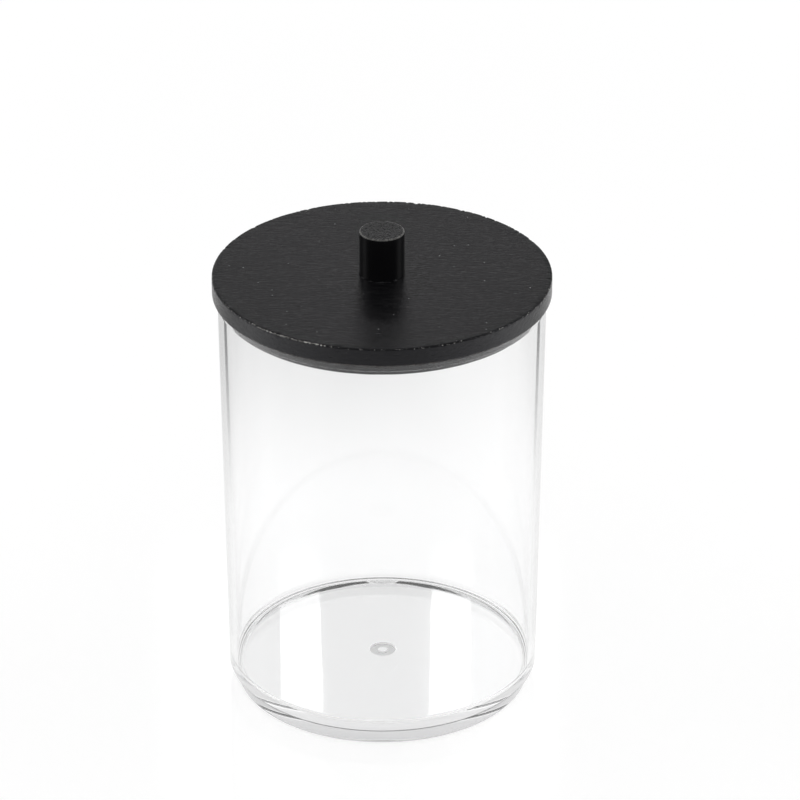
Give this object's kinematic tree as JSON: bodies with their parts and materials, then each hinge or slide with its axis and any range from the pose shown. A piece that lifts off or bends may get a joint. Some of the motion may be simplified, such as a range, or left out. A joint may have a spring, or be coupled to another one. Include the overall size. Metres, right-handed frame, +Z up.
{
  "type": "cotton pad holder",
  "caption": "Clear cylindrical jar with a stepped solid base and a drop-in black wooden disc lid that lifts by a dowel knob.",
  "frame": {"origin": "centre of the flat face that the jar stands on", "axes": "+Z up along the jar's axis, through the lid and the knob; X and Y are free, because the object is round"},
  "size_m": [0.07, 0.07, 0.1036],
  "materials": {
    "clear_plastic": "clear, polished",
    "black_wood": "black satin paint over fine wood grain, chipped at the edges",
    "black_dowel": "black semi-gloss paint over a turned dowel"
  },
  "bodies": {
    "jar": {"jar_body": "clear_plastic"},
    "lid": {"lid_disc": "black_wood", "lid_plug": "black_wood", "knob": "black_dowel"}
  },
  "joints": [
    {"name": "lid_lift", "type": "slide", "parent": "jar", "child": "lid", "axis": [0, 0, 1], "range_m": [0, 0.015]}
  ]
}
